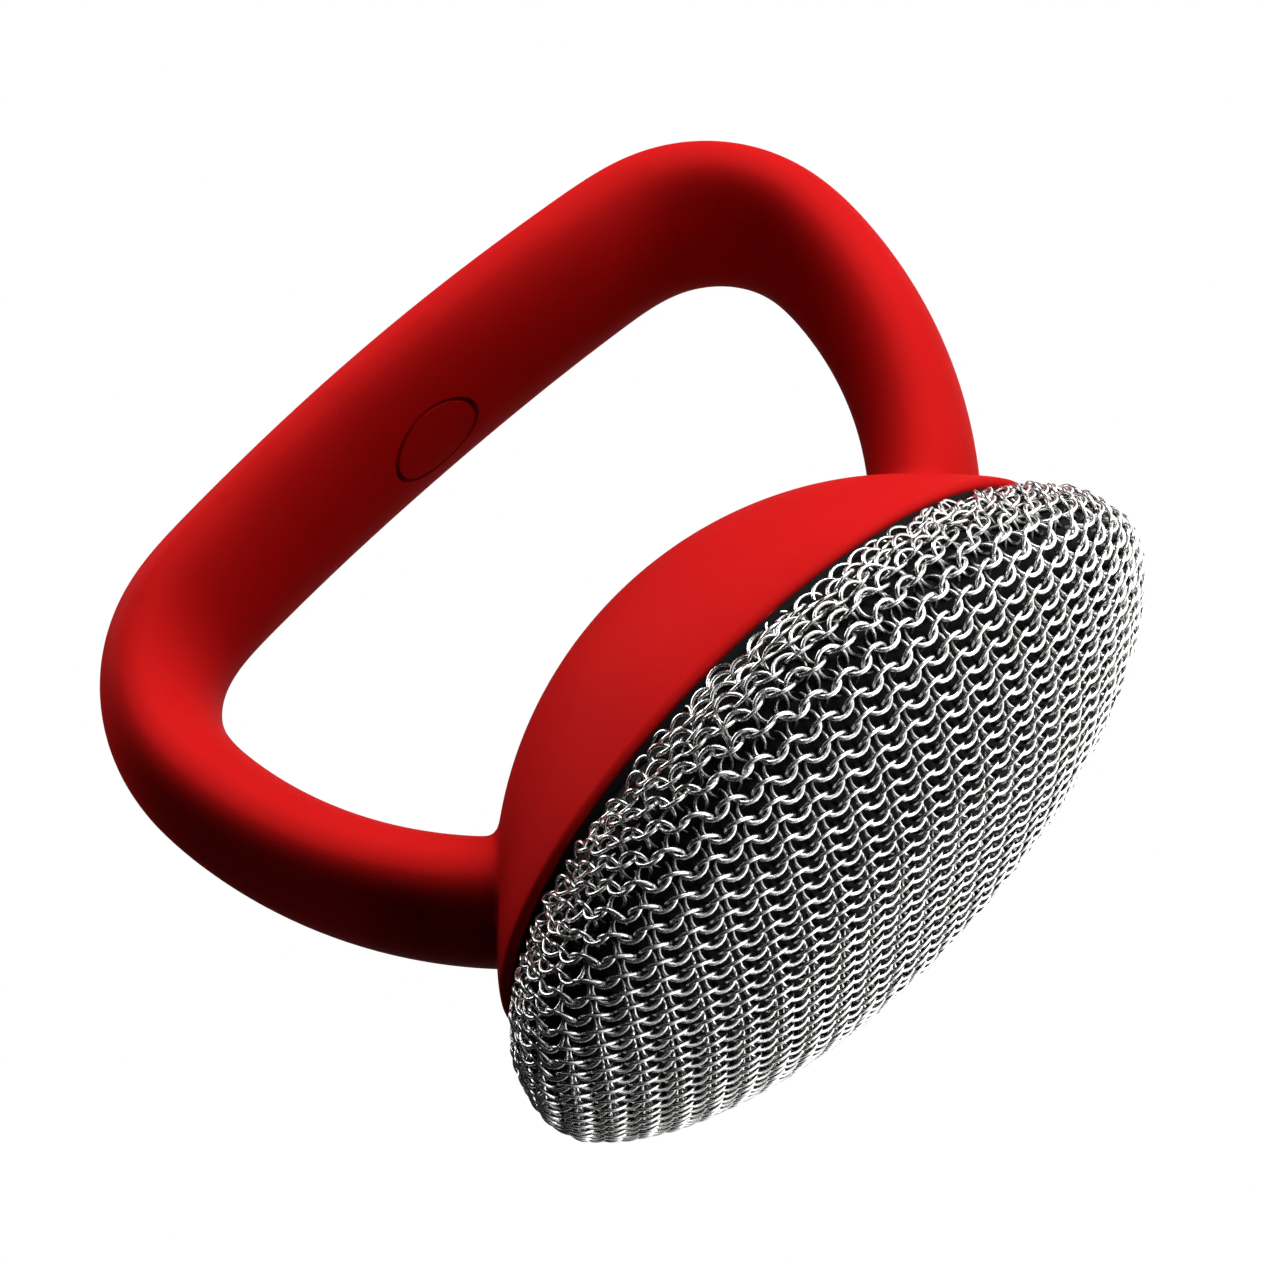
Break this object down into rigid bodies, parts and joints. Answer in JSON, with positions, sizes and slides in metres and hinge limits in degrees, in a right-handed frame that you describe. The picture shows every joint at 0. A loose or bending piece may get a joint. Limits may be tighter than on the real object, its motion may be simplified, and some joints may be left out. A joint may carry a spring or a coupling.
{
  "type": "chainmail pot brush",
  "caption": "Scouring brush with a D-shaped loop handle on a round cup that holds a rubber dome covered in linked steel rings.",
  "frame": {"origin": "middle of the flat that the brush stands on, under the dome's pole (bottom centre of the bounding box)", "axes": "+Z from the links up through the cup to the grip; X across the loop handle, from one leg to the other; Y along the grip's width"},
  "size_m": [0.12, 0.099, 0.1032],
  "materials": {
    "handle_red": "soft-touch matte moulding",
    "plug_red": "matte",
    "nylon": "satin",
    "pad_rubber": "matte",
    "links_steel": "bright stainless steel wire, butted rings"
  },
  "bodies": {
    "root": {"handle_body": "handle_red", "grip_plug": "plug_red", "backing_plate": "nylon", "scrub_pad": "pad_rubber", "hem_row_upper": "links_steel", "hem_row_lower": "links_steel", "link_row_01": "links_steel", "link_row_02": "links_steel", "link_row_03": "links_steel", "link_row_04": "links_steel", "link_row_05": "links_steel", "link_row_06": "links_steel", "link_row_07": "links_steel", "link_row_08": "links_steel", "link_row_09": "links_steel", "link_row_10": "links_steel", "link_row_11": "links_steel", "link_row_12": "links_steel", "link_row_13": "links_steel", "link_row_14": "links_steel", "link_row_15": "links_steel", "link_row_16": "links_steel", "link_row_17": "links_steel", "link_row_18": "links_steel", "link_row_19": "links_steel", "link_row_20": "links_steel"}
  },
  "joints": []
}
